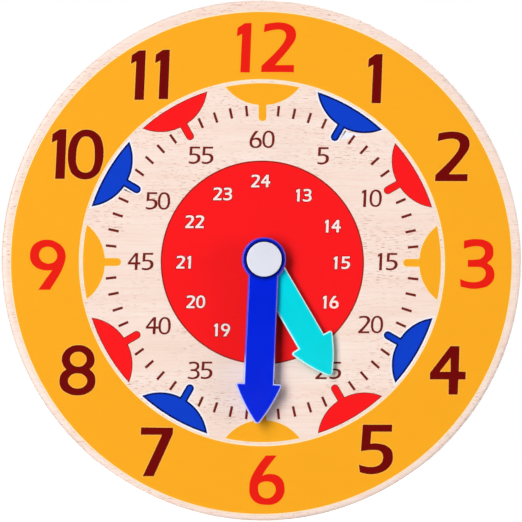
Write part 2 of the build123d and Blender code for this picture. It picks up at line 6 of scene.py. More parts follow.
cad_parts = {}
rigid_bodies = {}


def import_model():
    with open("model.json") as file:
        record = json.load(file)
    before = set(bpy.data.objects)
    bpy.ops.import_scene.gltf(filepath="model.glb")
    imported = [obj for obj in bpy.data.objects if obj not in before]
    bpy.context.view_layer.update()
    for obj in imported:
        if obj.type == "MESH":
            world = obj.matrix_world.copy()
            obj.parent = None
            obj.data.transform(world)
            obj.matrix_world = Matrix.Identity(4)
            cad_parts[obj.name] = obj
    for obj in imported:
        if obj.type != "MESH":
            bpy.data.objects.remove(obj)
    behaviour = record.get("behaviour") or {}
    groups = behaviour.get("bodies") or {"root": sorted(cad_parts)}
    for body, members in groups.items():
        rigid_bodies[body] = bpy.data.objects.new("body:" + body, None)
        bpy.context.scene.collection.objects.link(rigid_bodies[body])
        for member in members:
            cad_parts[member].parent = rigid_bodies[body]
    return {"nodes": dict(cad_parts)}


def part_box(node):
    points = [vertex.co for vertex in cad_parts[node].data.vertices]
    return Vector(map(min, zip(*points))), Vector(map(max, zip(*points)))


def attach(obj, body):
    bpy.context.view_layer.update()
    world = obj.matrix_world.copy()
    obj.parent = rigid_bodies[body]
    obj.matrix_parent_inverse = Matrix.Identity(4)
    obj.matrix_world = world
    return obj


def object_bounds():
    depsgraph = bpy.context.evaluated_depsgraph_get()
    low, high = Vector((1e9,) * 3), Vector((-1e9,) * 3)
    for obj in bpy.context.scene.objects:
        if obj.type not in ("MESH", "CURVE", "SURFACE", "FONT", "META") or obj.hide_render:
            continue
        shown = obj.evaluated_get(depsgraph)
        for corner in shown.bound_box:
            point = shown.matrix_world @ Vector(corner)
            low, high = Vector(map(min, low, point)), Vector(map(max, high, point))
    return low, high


for leftOver in list(bpy.data.objects):
    bpy.data.objects.remove(leftOver)

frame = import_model()
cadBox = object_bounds()
parts = frame["nodes"]
print("frame loaded,", len(parts), "nodes")

mm = 0.001
boardFront = -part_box("dial_board")[0].y / mm
boardBack = -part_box("dial_board")[1].y / mm


def linear(hexColour, shade=1.0):
    # sRGB hex to the linear values that the sockets take, a shade darker where one is given
    values = [int(hexColour[i:i + 2], 16) / 255 for i in (1, 3, 5)]
    straight = [v / 12.92 if v <= 0.04045 else ((v + 0.055) / 1.055) ** 2.4 for v in values]
    return tuple(shade * v for v in straight) + (1.0,)


def add(tree, kind, inputs=None, **settings):
    # one node, with its settings, its fixed values and its links
    made = tree.nodes.new(kind)
    for name, value in settings.items():
        setattr(made, name, value)
    for socket, value in (inputs or {}).items():
        if isinstance(value, bpy.types.NodeSocket):
            tree.links.new(value, made.inputs[socket])
        else:
            made.inputs[socket].default_value = value
    return made


def startMaterial(name, sockets):
    material = bpy.data.materials.new(name)
    material.use_nodes = True
    tree = material.node_tree
    tree.nodes.clear()
    shader = add(tree, "ShaderNodeBsdfPrincipled", sockets)
    add(tree, "ShaderNodeOutputMaterial", {"Surface": shader.outputs["BSDF"]})
    return material, tree, shader


def spot(tree, sizes):
    # place on the clock in millimetres, divided by a pattern size for each axis
    place = add(tree, "ShaderNodeTexCoord").outputs["Object"]
    scale = [1 / (size * mm) for size in sizes]
    return add(tree, "ShaderNodeMapping", {"Vector": place, "Scale": scale}).outputs["Vector"]


def speckle(tree, sizes, low=0.3, high=0.7, detail=2.0, wander=0.0):
    # soft noise of the given sizes in millimetres, its contrast cut to 0..1 between low and high
    noise = add(tree, "ShaderNodeTexNoise", {
        "Vector": spot(tree, sizes), "Scale": 1.0, "Detail": detail, "Distortion": wander})
    cut = add(tree, "ShaderNodeMapRange", {
        "Value": noise.outputs["Fac"], "From Min": low, "From Max": high})
    return cut.outputs["Result"]


def layered(tree, ground, *coats):
    # colours laid over a ground one after another, each as far as its pattern says;
    # the mixing node has its two colours in sockets 6 and 7 and gives the result as output 2
    for pattern, colour in coats:
        first, second = [linear(c) if isinstance(c, str) else c for c in (ground, colour)]
        mixed = add(tree, "ShaderNodeMix", {"Factor": pattern, 6: first, 7: second},
                    data_type="RGBA")
        ground = mixed.outputs[2]
    return ground


def dress(tree, shader, colour=None, relief=None, gloss=None):
    # a colour, a relief (pattern, depth in millimetres, strength) and a gloss that runs
    # with its pattern from one roughness to another
    if colour:
        tree.links.new(colour, shader.inputs["Base Color"])
    if relief:
        pattern, depth, strength = relief
        bump = add(tree, "ShaderNodeBump", {
            "Height": pattern, "Distance": depth * mm, "Strength": strength})
        tree.links.new(bump.outputs["Normal"], shader.inputs["Normal"])
    if gloss:
        pattern, smoothest, roughest = gloss
        worn = add(tree, "ShaderNodeMapRange", {
            "Value": pattern, "To Min": smoothest, "To Max": roughest})
        tree.links.new(worn.outputs["Result"], shader.inputs["Roughness"])


beech = {
    "shader": {"Roughness": 0.48, "IOR": 1.5, "Specular IOR Level": 0.3},
    "pale": "#FDE8DD",
    "warm": "#F8DDCE",
    "streak": "#F5D6C7",
    "fleck": "#C98F73",
    "glueLine": "#B98B63",
    "crossPly": "#E3B48C",
    "flecks": {"sizes": (3.6, 8.0, 0.55), "low": 0.58, "high": 0.76, "detail": 1.0, "wander": 0.5},
    "patches": {"sizes": (60.0, 60.0, 26.0), "low": 0.38, "high": 0.62, "detail": 1.0},
    "streaks": {"sizes": (22.0, 8.0, 0.9), "low": 0.5, "high": 0.8, "wander": 0.3},
    "growthBands": {"sizes": (120.0, 30.0, 7.0), "low": 0.35, "high": 0.75, "detail": 3.0},
    "endPores": {"sizes": (0.5, 0.35, 0.5), "low": 0.45, "high": 0.7, "detail": 1.0},
    "relief": (-0.03, 0.5),
    "plyCount": 5,
    "glueShare": 0.06,
    # how far the surface faces forwards, as a cosine, where the face ends and the rim starts
    "faceEnds": 0.75,
    "rimStarts": 0.45,
}


def beechGrain(tree):
    # ray flecks lie along the grain and come and go in patches; real ones are 0.3 mm wide,
    # drawn at nearly twice that so that they show
    flecks = add(tree, "ShaderNodeMath", {
        0: speckle(tree, **beech["flecks"]), 1: speckle(tree, **beech["patches"])},
        operation="MULTIPLY").outputs[0]
    return flecks, speckle(tree, **beech["streaks"])


def beechPlywood():
    # rotary-cut beech plywood, sanded and matt lacquered: short brown flecks on pale pink,
    # hardly any gloss
    material, tree, shader = startMaterial("lacquered_beech_plywood", beech["shader"])
    flecks, streaks = beechGrain(tree)
    face = layered(tree, beech["pale"], (speckle(tree, **beech["growthBands"]), beech["warm"]),
                   (streaks, beech["streak"]), (flecks, beech["fleck"]))
    # the sawn rim shows the plies, every second one as darker end grain, with a glue line between
    place = add(tree, "ShaderNodeTexCoord").outputs["Object"]
    depth = add(tree, "ShaderNodeSeparateXYZ", {"Vector": place}).outputs["Y"]
    plies = add(tree, "ShaderNodeMapRange", {
        "Value": depth, "From Min": -boardFront * mm, "From Max": -boardBack * mm,
        "To Max": float(beech["plyCount"])}, clamp=False).outputs["Result"]
    inPly = add(tree, "ShaderNodeMath", {0: plies}, operation="FRACT").outputs[0]
    glued = add(tree, "ShaderNodeMath", {0: inPly, 1: beech["glueShare"]},
                operation="LESS_THAN").outputs[0]
    pairs = add(tree, "ShaderNodeMath", {0: plies, 1: 2.0}, operation="MODULO").outputs[0]
    crossed = add(tree, "ShaderNodeMath", {0: pairs, 1: 1.0}, operation="GREATER_THAN").outputs[0]
    pored = layered(tree, beech["crossPly"], (speckle(tree, **beech["endPores"]), beech["fleck"]))
    rim = layered(tree, face, (crossed, pored), (glued, beech["glueLine"]))
    facing = add(tree, "ShaderNodeNewGeometry").outputs["True Normal"]
    towards = add(tree, "ShaderNodeSeparateXYZ", {"Vector": facing}).outputs["Y"]
    flat = add(tree, "ShaderNodeMath", {0: towards}, operation="ABSOLUTE").outputs[0]
    onRim = add(tree, "ShaderNodeMapRange", {
        "Value": flat, "From Min": beech["faceEnds"],
        "From Max": beech["rimStarts"]}).outputs["Result"]
    dress(tree, shader, layered(tree, face, (onRim, rim)), (flecks, *beech["relief"]))
    return material


inks = {
    "sun_yellow": "#FEAE22",
    "yellow_bleed": "#FFEDBE",
    "orange_bleed": "#FFBD4A",
    "signal_red": "#FE1A1E",
    "numeral_red": "#EE1E12",
    "oxblood": "#700404",
    "tick_brown": "#76221A",
    "royal_blue": "#0C40CC",
    "navy_edge": "#04145E",
    "keyline_white": "#F6F4FC",
    "numeral_white": "#FFE9E4",
    "deep_red": "#A80C10",
    "outline_red": "#A4241C",
}
inkFilm = {
    "shader": {"Roughness": 0.5, "IOR": 1.48, "Specular IOR Level": 0.06},
    "wornShade": 0.82,
    "grainShows": 0.12,
    "patches": {"sizes": (14.0, 14.0, 9.0)},
    "patchesShow": 0.06,
    "relief": (-0.012, 0.5),
}


def screenInk(name, hexColour):
    # solvent ink screened onto wood: flat and matt, with the grain just showing through the film
    material, tree, shader = startMaterial("screen_ink_" + name, inkFilm["shader"])
    flecks, streaks = beechGrain(tree)
    grain = add(tree, "ShaderNodeMath", {0: flecks, 1: streaks}, operation="MAXIMUM").outputs[0]
    thin = add(tree, "ShaderNodeMath", {0: grain, 1: inkFilm["grainShows"]},
               operation="MULTIPLY").outputs[0]
    uneven = add(tree, "ShaderNodeMath", {
        0: speckle(tree, **inkFilm["patches"]), 1: inkFilm["patchesShow"]},
        operation="MULTIPLY").outputs[0]
    worn = linear(hexColour, inkFilm["wornShade"])
    inked = layered(tree, hexColour, (thin, worn), (uneven, worn))
    dress(tree, shader, inked, (flecks, *inkFilm["relief"]))
    return material


# sizes and depths of the spark-eroded skin in millimetres; the edge colours of the hands are a
# painted highlight on their rounded front edge, near the hub and at the head, and the minute hand
# has painted shade round its cap
mouldings = {
    "minuteHand": {"colour": "#0024E0", "roughness": 0.16, "sparkSize": 0.8, "sparkDepth": 0.002,
                   "specular": 0.18, "shadedCap": True, "highlightColours": ("#6C44C8", "#C4CEFF")},
    "cannonPinion": {"colour": "#0024E0", "roughness": 0.3, "sparkSize": 0.8, "sparkDepth": 0.004},
    "hourHand": {"colour": "#00DDE8", "roughness": 0.16, "sparkSize": 0.8, "sparkDepth": 0.002,
                 "specular": 0.3, "highlightColours": ("#D2FFFC", "#D2FFFC")},
    "hourWheel": {"colour": "#00DDE8", "roughness": 0.3, "sparkSize": 0.8, "sparkDepth": 0.004},
    "hubCap": {"colour": "#E4E6F2", "roughness": 0.34, "sparkSize": 0.6, "sparkDepth": 0.01},
    "gearCase": {"colour": "#ECE8DE", "roughness": 0.52, "sparkSize": 1.1, "sparkDepth": 0.06},
}
# polished and scuffed are added to the roughness where handling wears the skin least and most
mouldedSkin = {
    "ior": 1.54,
    "flow": {"sizes": (22.0, 22.0, 22.0), "low": 0.35, "high": 0.65},
    "flowShade": 0.95,
    "handling": {"sizes": (6.0, 6.0, 6.0), "detail": 4.0},
    "polished": -0.03,
    "scuffed": 0.04,
    "sparkStrength": 0.5,
}
# how far the painted shade round the cap reaches from the hands' axis, in millimetres, and how
# much it covers
capShade = {
    "colour": "#00125E",
    "inner": 10.2,
    "outer": 13.0,
    "cover": 0.9,
}
# a painted highlight along the rounded front edge of the hands
highlightSpan = {
    # where along the hand the painted highlight on its edge turns from the colour near the hub to
    # the colour at the head
    "shaft": 54.0,
    "head": 63.0,
    # how far the surface faces forwards, as a cosine, where the painted highlight starts and ends
    "face": 0.97,
    "bend": 0.78,
    "foot": 0.2,
    "side": 0.02,
}


def reachFromAxis(tree):
    # distance from the hands' axis
    place = add(tree, "ShaderNodeTexCoord").outputs["Object"]
    across = add(tree, "ShaderNodeMapping", {"Vector": place, "Scale": (1, 0, 1)})
    reach = add(tree, "ShaderNodeVectorMath", {0: across.outputs["Vector"]}, operation="LENGTH")
    return reach.outputs["Value"]


def paintCapShade(tree, colour):
    # painted shade: the groove round the cap is drawn dark navy, fading out across the hub
    amount = add(tree, "ShaderNodeMapRange", {
        "Value": reachFromAxis(tree), "From Min": capShade["inner"] * mm,
        "From Max": capShade["outer"] * mm, "To Min": capShade["cover"], "To Max": 0.0})
    return layered(tree, colour, (amount.outputs["Result"], capShade["colour"]))


def paintArrisHighlight(tree, colour, nearHub, atHead):
    # painted highlight: the rounded front arris of a hand is drawn paler, most of all at its head;
    # its face and its sides keep their colour
    normal = add(tree, "ShaderNodeTexCoord").outputs["Normal"]
    forward = add(tree, "ShaderNodeSeparateXYZ", {"Vector": normal}).outputs["Y"]
    facing = add(tree, "ShaderNodeMath", {0: forward, 1: -1.0}, operation="MULTIPLY").outputs[0]
    offFace = add(tree, "ShaderNodeMapRange", {
        "Value": facing, "From Min": highlightSpan["face"], "From Max": highlightSpan["bend"]})
    offSide = add(tree, "ShaderNodeMapRange", {
        "Value": facing, "From Min": highlightSpan["side"], "From Max": highlightSpan["foot"]})
    amount = add(tree, "ShaderNodeMath", {
        0: offFace.outputs["Result"], 1: offSide.outputs["Result"]}, operation="MULTIPLY")
    along = add(tree, "ShaderNodeMapRange", {
        "Value": reachFromAxis(tree), "From Min": highlightSpan["shaft"] * mm,
        "From Max": highlightSpan["head"] * mm})
    pale = layered(tree, nearHub, (along.outputs["Result"], atHead))
    return layered(tree, colour, (amount.outputs[0], pale))


def mouldedAbs(name, colour, roughness, sparkSize, sparkDepth, specular=0.25, shadedCap=False,
               highlightColours=None):
    # injection-moulded ABS: even colour, a satin skin from the spark-eroded mould
    # and faint handling marks
    material, tree, shader = startMaterial(name, {
        "Roughness": roughness, "IOR": mouldedSkin["ior"], "Specular IOR Level": specular})
    shade = linear(colour, mouldedSkin["flowShade"])
    skin = layered(tree, colour, (speckle(tree, **mouldedSkin["flow"]), shade))
    # painted shade round the cap
    if shadedCap:
        skin = paintCapShade(tree, skin)
    # painted highlight on the rounded front edge
    if highlightColours:
        skin = paintArrisHighlight(tree, skin, *highlightColours)
    sparked = speckle(tree, (sparkSize, sparkSize, sparkSize))
    dress(tree, shader, skin, (sparked, sparkDepth, mouldedSkin["sparkStrength"]),
          (speckle(tree, **mouldedSkin["handling"]), roughness + mouldedSkin["polished"],
           roughness + mouldedSkin["scuffed"]))
    return material


coverSheet = {
    "shader": {"Roughness": 0.12, "IOR": 1.58, "Alpha": 0.16, "Base Color": linear("#DCE8EC")},
    "wipes": {"sizes": (9.0, 9.0, 0.8), "low": 0.5, "high": 0.75, "detail": 3.0},
    "gloss": (0.07, 0.3),
}


def clearPolycarbonate():
    # moulded clear cover: see-through with a bluish cast, glossy, with fine wipe marks
    material, tree, shader = startMaterial("moulded_clear_polycarbonate", coverSheet["shader"])
    dress(tree, shader, gloss=(speckle(tree, **coverSheet["wipes"]), *coverSheet["gloss"]))
    return material


acetal = {
    "shader": {"Roughness": 0.34, "IOR": 1.48},
    "pale": "#F3F2EC",
    "cloudy": "#E2E0D6",
    "cloud": {"sizes": (5.0, 5.0, 5.0)},
    "wax": {"sizes": (1.2, 1.2, 1.2)},
    "relief": (0.02, 0.4),
}


def mouldedAcetal():
    # moulded natural acetal: waxy off-white, faintly cloudy
    material, tree, shader = startMaterial("moulded_natural_acetal", acetal["shader"])
    clouded = layered(tree, acetal["pale"], (speckle(tree, **acetal["cloud"]), acetal["cloudy"]))
    dress(tree, shader, clouded, (speckle(tree, **acetal["wax"]), *acetal["relief"]))
    return material


rubber = {
    "shader": {"Roughness": 0.8, "IOR": 1.52, "Specular IOR Level": 0.35},
    "black": "#1D1D1F",
    "dusty": "#3C3B3A",
    "dust": {"sizes": (2.5, 2.5, 2.5), "low": 0.45, "high": 0.75, "detail": 5.0},
    "grain": {"sizes": (0.5, 0.5, 0.5)},
    "relief": (0.06, 0.6),
}


def mouldedRubber():
    # black moulded rubber: matt, greyed by dust and faintly grained
    material, tree, shader = startMaterial("moulded_black_rubber", rubber["shader"])
    dusted = layered(tree, rubber["black"], (speckle(tree, **rubber["dust"]), rubber["dusty"]))
    dress(tree, shader, dusted, (speckle(tree, **rubber["grain"]), *rubber["relief"]))
    return material


turnings = {
    "brass": {"bright": "#D9B25C", "dull": "#A97F3C", "roughness": 0.26},
    "steel": {"bright": "#B9BBBE", "dull": "#8C8E92", "roughness": 0.28},
}
# the rings' pitch in millimetres; polished and tarnished are added to the roughness
latheMarks = {
    "pitch": 0.5,
    "waver": 0.6,
    "tarnish": {"sizes": (4.0, 4.0, 4.0), "low": 0.4, "high": 0.75, "detail": 4.0},
    "polished": -0.06,
    "tarnished": 0.14,
    "relief": (0.02, 0.3),
}


def turnedMetal(name, bright, dull, roughness):
    # lathe-turned round the hands' axis: fine rings that catch the light, real ones 0.1 mm apart,
    # drawn coarser so that they show
    material, tree, shader = startMaterial(name, {"Roughness": roughness, "Metallic": 1.0})
    pitch = latheMarks["pitch"]
    rings = add(tree, "ShaderNodeTexWave", {
        "Vector": spot(tree, (pitch, pitch, pitch)), "Scale": 1.0,
        "Distortion": latheMarks["waver"], "Detail": 1.0},
        wave_type="RINGS", rings_direction="Y").outputs["Fac"]
    tarnish = speckle(tree, **latheMarks["tarnish"])
    dress(tree, shader, layered(tree, bright, (tarnish, dull)), (rings, *latheMarks["relief"]),
          (tarnish, roughness + latheMarks["polished"], roughness + latheMarks["tarnished"]))
    return material


# grain is the size of the rolling marks along each axis
sheets = {
    "hangerStrip": {"bright": "#C2C6CB", "cast": "#C9C4B2", "roughness": 0.34,
                    "grain": (14.0, 3.0, 0.5)},
    "screws": {"bright": "#BFC3C8", "cast": "#A9B4C8", "roughness": 0.3,
               "grain": (0.8, 0.8, 0.8)},
    "springs": {"bright": "#7B818B", "cast": "#5B6A8A", "roughness": 0.3,
                "grain": (5.0, 5.0, 0.4)},
}
# bright and dulled are added to the roughness where the rolled grain shines most and least
plating = {
    "film": {"sizes": (7.0, 7.0, 7.0), "low": 0.35, "high": 0.7, "detail": 3.0},
    "bright": -0.07,
    "dulled": 0.12,
    "relief": (0.015, 0.4),
}


def platedSteel(name, bright, cast, roughness, grain):
    # zinc plated or blued steel: grey with a faint straw or blue cast and a fine rolled grain
    material, tree, shader = startMaterial(name, {"Roughness": roughness, "Metallic": 1.0})
    rolled = speckle(tree, grain)
    dress(tree, shader, layered(tree, bright, (speckle(tree, **plating["film"]), cast)),
          (rolled, *plating["relief"]),
          (rolled, roughness + plating["bright"], roughness + plating["dulled"]))
    return material


finishes = [
    (beechPlywood(), ["dial_board"]),
    (mouldedAbs("moulded_blue_abs", **mouldings["minuteHand"]), ["minute_hand"]),
    (mouldedAbs("moulded_blue_pinion_abs", **mouldings["cannonPinion"]), ["cannon_pinion"]),
    (mouldedAbs("moulded_teal_abs", **mouldings["hourHand"]), ["hour_hand"]),
    (mouldedAbs("moulded_teal_wheel_abs", **mouldings["hourWheel"]), ["hour_wheel"]),
    (mouldedAbs("moulded_white_abs", **mouldings["hubCap"]), ["hub_cap"]),
    (mouldedAbs("textured_ivory_abs", **mouldings["gearCase"]), ["gear_case"]),
    (clearPolycarbonate(), ["rear_cover"]),
    (mouldedAcetal(), ["intermediate_wheel", "intermediate_pinion", "thrust_washer"]),
    (mouldedRubber(), ["rubber_feet"]),
    (turnedMetal("turned_brass", **turnings["brass"]),
     ["centre_bush", "hour_pipe", "bush_nut", "hand_nut"]),
    (turnedMetal("turned_steel", **turnings["steel"]),
     ["minute_arbor", "wheel_post", "bush_washer", "post_washer"]),
    (platedSteel("zinc_plated_strip", **sheets["hangerStrip"]), ["hanger_plate"]),
    (platedSteel("zinc_plated_screws", **sheets["screws"]),
     ["case_screws", "cover_screws", "hanger_screws", "foot_screws"]),
    (platedSteel("blued_spring_steel", **sheets["springs"]), ["friction_spring", "post_clip"]),
]
for material, names in finishes:
    for name in names:
        parts[name].data.materials.clear()
        parts[name].data.materials.append(material)
print("finishes set on the frame:", len(finishes))


# a digit is drawn on a height of 100; a third value marks a corner, the other points are smooth
digits = {
    "0": [[(0, 50), (4.5, 75), (13.8, 90), (36, 100), (60.5, 90), (68, 75), (70.5, 50), (66, 25),
           (57.5, 10), (34.5, 0.5), (10, 10), (2.5, 25)],
          [(18, 25), (25, 16), (34.5, 13.3), (44, 16), (50.5, 25), (53.8, 50), (51, 75), (45, 84),
           (36, 87), (27, 84), (20.8, 75), (15.8, 50)]],
    "1": [[(17.5, 99, 1), (30.5, 99.5, 1), (26.8, 0.5, 1), (8.8, 0.5, 1), (12.5, 78.8, 1),
           (2, 73.5, 1), (3.3, 89.5, 1)]],
    "2": [[(8, 96.3, 1), (22.5, 99), (38.8, 100), (55, 96.8), (65.8, 89.5), (70, 79.3),
           (68.8, 67.5), (62.5, 56.3), (27, 13.5, 1), (66, 14, 1), (65.5, 0.5, 1), (0.8, 0.5, 1),
           (1.3, 12, 1), (38.8, 50), (48.8, 65), (51, 73.8), (48.8, 81.3), (41.3, 85.8),
           (32.5, 86.5), (18.8, 84.5), (6, 81.3, 1)]],
    "3": [[(9.3, 96.3, 1), (22.5, 99), (35, 99.5), (52.5, 96.8), (65, 87.5), (68, 75),
           (66.3, 63.8), (55, 51.3, 1), (65, 43.8), (70, 30), (67.5, 17.5), (57.5, 6.3),
           (42.5, 1.3), (25, 0), (2, 4.3, 1), (1, 18.5, 1), (12.5, 14.3), (25, 12.5), (38.8, 13.8),
           (50, 21.3), (53, 30), (50.8, 38.8), (42.5, 43.5), (31.3, 44.3), (17, 44.3, 1),
           (17, 57.5, 1), (31.3, 58), (43.8, 60.8), (50.8, 68.8), (51.3, 76.3), (47.5, 83),
           (38.8, 86), (25, 85.5), (8.8, 81.3, 1)]],
    "4": [[(43.8, 98.8, 1), (61.5, 98.8, 1), (60, 47.5, 1), (74.3, 47, 1), (73.8, 32.5, 1),
           (59.3, 32.5, 1), (57.5, 2, 1), (40, 2, 1), (40.5, 32.5, 1), (2, 32.5, 1), (2.5, 45, 1)],
          [(20.5, 47, 1), (44.3, 47, 1), (44.3, 77, 1)]],
    "5": [[(8.8, 99.5, 1), (67.5, 99.5, 1), (66.8, 86.3, 1), (25, 86.3, 1), (23, 60.8, 1),
           (32.5, 61.8), (45, 60.5), (57.5, 56.3), (66.3, 47.5), (68.8, 35), (66.3, 22.5),
           (57.5, 11.3), (45, 4.3), (30, 0.8), (16.3, 1.3), (2.5, 4.5, 1), (1, 18.8, 1),
           (11.3, 15.8), (22.5, 14.3), (35, 15.5), (45, 21.3), (49.5, 30), (49.5, 37.5),
           (46.3, 45), (38.8, 48.8), (27.5, 49.5), (15, 48.5), (5, 47, 1)]],
    "6": [[(33.8, 98, 1), (54.5, 98, 1), (41.3, 81.3), (31.3, 67.5), (25, 56.3, 1), (32.5, 59.5),
           (45, 60.8), (57.5, 57.5), (67.5, 47.5), (70.8, 33.8), (68.8, 18.8), (60, 7),
           (47.5, 0.8), (35, 0), (20, 2), (8.8, 8.8), (2, 20), (0.8, 32.5), (2.5, 47.5), (7.5, 60),
           (16.3, 75), (25, 87)],
          [(21, 19), (28, 13.5), (36, 12), (43, 13.5), (50, 19), (54, 28), (53, 36), (47, 44),
           (38, 46.8), (28, 46), (20, 42), (17.5, 30)]],
    "7": [[(2.5, 98.3, 1), (66, 97.5, 1), (65.5, 86.3, 1), (27, 1.3, 1), (6.3, 1.3, 1),
           (45, 84.5, 1), (2, 84.5, 1)]],
    "8": [[(39.5, 100), (55, 96.8), (67, 86.3), (71.3, 72.5), (69.5, 61.3), (61.3, 52, 1),
           (70, 42.5), (73, 30), (69.5, 15), (57.5, 4.5), (37.5, 0), (17.5, 4.5), (5, 15),
           (1.8, 28.8), (6.3, 43.8), (15.8, 51.3, 1), (8.8, 61.3), (6.5, 72.5), (11.3, 86.3),
           (23.8, 96.8)],
          [(39, 56.8), (51.3, 61.2), (56.3, 72), (51.3, 83), (39, 87.5), (27, 83), (22, 72),
           (27, 61.2)],
          [(37.8, 13), (51.7, 17.6), (57.5, 28.7), (51.7, 39.8), (37.8, 44.3), (23.8, 39.8),
           (18, 28.7), (23.8, 17.6)]],
    "9": [[(35, 99.5), (52.5, 95), (66.3, 83.8), (71.3, 68.8), (70.5, 58.8), (65, 42.5),
           (57.5, 27.5), (40, 0, 1), (18.3, 0, 1), (35, 23.8), (46.3, 39.5, 1), (35, 38.8),
           (22.5, 40.5), (10, 47), (2.5, 57.5), (0.8, 68.8), (5, 85), (17.5, 95.8)],
          [(24, 56.5), (33, 52), (42, 52), (50, 56), (55, 64), (54, 74), (47, 83), (38, 86.3),
           (30, 85.5), (22, 80), (18, 68)]],
}

# the height of the digits and how much fatter they are drawn, in millimetres; then for each
# digit its left edge and its foot, measured from the middle of the print
hourNumerals = {
    "height": 28.6,
    "bolder": 0.16,
    "bleed": 0.5,
    "red": [("1", -15.2, 109.6), ("2", -0.8, 109.9), ("3", 114.4, -14.8), ("6", -7.7, -139.3),
            ("9", -133.9, -15.9)],
    "dark": [("1", 60.8, 92.2), ("2", 100.0, 47.3), ("4", 96.4, -76.5), ("5", 55.6, -122.0),
             ("7", -70.5, -123.2), ("8", -117.2, -76.5), ("1", -121.8, 47.7), ("0", -112.0, 47.4),
             ("1", -76.3, 93.4), ("1", -62.4, 93.9)],
}
minuteNumerals = {
    "height": 10.4,
    "thinner": -0.13,
    "digits": [("6", -7.7, 65.8), ("0", -0.2, 65.8), ("5", 31.4, 56.4), ("1", 57.2, 32.0),
               ("0", 61.9, 32.0), ("1", 66.4, -4.6), ("5", 71.2, -4.6), ("2", 55.1, -40.9),
               ("0", 62.6, -40.9), ("2", 30.3, -67.4), ("5", 38.4, -67.4), ("3", -7.5, -75.5),
               ("0", 0.1, -75.5), ("3", -43.4, -67.4), ("5", -35.9, -67.4), ("4", -67.6, -41.8),
               ("0", -60.1, -41.8), ("4", -78.0, -4.9), ("5", -69.9, -4.9), ("5", -67.6, 30.0),
               ("0", -60.5, 30.0), ("5", -42.9, 56.4), ("5", -35.4, 56.4)],
}
dayNumerals = {
    "height": 7.2,
    "bolder": 0.08,
    "shadow": 0.5,
    "digits": [("2", -6.6, 43.3), ("4", -0.9, 43.3), ("1", 19.4, 35.2), ("3", 23.3, 35.2),
               ("1", 36.1, 17.4), ("4", 39.9, 17.4), ("1", 41.2, -3.7), ("5", 45.6, -3.7),
               ("1", 34.9, -26.4), ("6", 38.8, -26.4), ("1", 17.6, -43.7), ("7", 21.7, -43.7),
               ("1", -4.7, -49.4), ("8", -0.9, -49.4), ("1", -27.9, -42.5), ("9", -23.9, -42.5),
               ("2", -44.0, -26.4), ("0", -38.2, -26.4), ("2", -49.8, -3.6), ("1", -43.4, -3.6),
               ("2", -44.6, 19.7), ("2", -38.8, 19.7), ("2", -28.5, 35.8), ("3", -22.7, 35.8)],
}
# where the print stands, how thick its films are and what its rings measure, in millimetres
dialPrint = {
    "shift": (-0.3, -1.5),
    "film": 0.03,
    "layerStep": 0.02,
    "curveSteps": 5,
    "roundPoints": 72,
    "ringOuter": 144.6,
    "ringInner": 105.8,
    "bleed": 0.6,
    "discRadius": 57.9,
    "keyline": 0.85,
}


def film(name, outlines, ink, layer, spread=0.0):
    # closed outlines in millimetres become one thin film of ink; layer counts from the board
    # outwards and spread makes the film fatter or thinner
    curve = bpy.data.curves.new(name, "CURVE")
    curve.dimensions = "2D"
    curve.fill_mode = "BOTH"
    curve.resolution_u = dialPrint["curveSteps"]
    curve.extrude = dialPrint["film"] / 2 * mm
    curve.offset = spread * mm
    for points in outlines:
        spline = curve.splines.new("BEZIER")
        spline.bezier_points.add(len(points) - 1)
        spline.use_cyclic_u = True
        for knot, (x, y, *corner) in zip(spline.bezier_points, points):
            knot.co = (x * mm, y * mm, 0)
            knot.handle_left_type = knot.handle_right_type = "VECTOR" if corner else "AUTO"
    drawn = bpy.data.objects.new(name + "_outline", curve)
    bpy.context.scene.collection.objects.link(drawn)
    bpy.context.view_layer.update()
    shaped = drawn.evaluated_get(bpy.context.evaluated_depsgraph_get())
    mesh = bpy.data.meshes.new_from_object(shaped)
    bpy.data.objects.remove(drawn)
    right, up = dialPrint["shift"]
    depth = boardFront + dialPrint["film"] / 2 + layer * dialPrint["layerStep"]
    onBoard = Matrix.Translation((right * mm, -depth * mm, up * mm))
    mesh.transform(onBoard @ Matrix.Rotation(math.pi / 2, 4, "X"))
    mesh.materials.clear()
    mesh.materials.append(inkMaterials[ink])
    piece = bpy.data.objects.new(name, mesh)
    bpy.context.scene.collection.objects.link(piece)
    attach(piece, "clock")


def turned(points, clockwise):
    # a shape drawn at twelve, turned round the middle of the dial
    c, s = math.cos(math.radians(clockwise)), math.sin(math.radians(clockwise))
    return [(x * c + y * s, y * c - x * s, *corner) for x, y, *corner in points]


def roundOutline(radius):
    count = dialPrint["roundPoints"]
    angles = [2 * math.pi * k / count for k in range(count)]
    return [(radius * math.sin(a), radius * math.cos(a)) for a in angles]


def digitRow(rows, height):
    # the outlines of all digits in a row of (digit, left edge, foot)
    size = height / 100
    return [[(left + x * size, foot + y * size, *corner) for x, y, *corner in outline]
            for digit, left, foot in rows for outline in digits[digit]]


# a bowl hung from the ring with a pin below it, and the inks of its films from the lowest up,
# each with how much fatter it is drawn
markers = {
    "outerRadius": 103.4,
    "halfChord": 21.4,
    "bulgeLow": 90.8,
    "pinWidth": 4.4,
    "pinEnd": 81.6,
    "rimSteps": 4,
    "sideSteps": 5,
    "footSteps": 6,
    "films": {
        (12, 3, 6, 9): [("yellow_marker_edges", "yellow_bleed", 0.4),
                        ("yellow_markers", "sun_yellow", 0.0)],
        (1, 4, 7, 10): [("blue_marker_keylines", "keyline_white", 1.1),
                        ("blue_marker_edges", "navy_edge", 0.15),
                        ("blue_markers", "royal_blue", -0.9)],
        (2, 5, 8, 11): [("red_marker_edges", "outline_red", 0.1),
                        ("red_markers", "signal_red", -0.4)],
    },
}


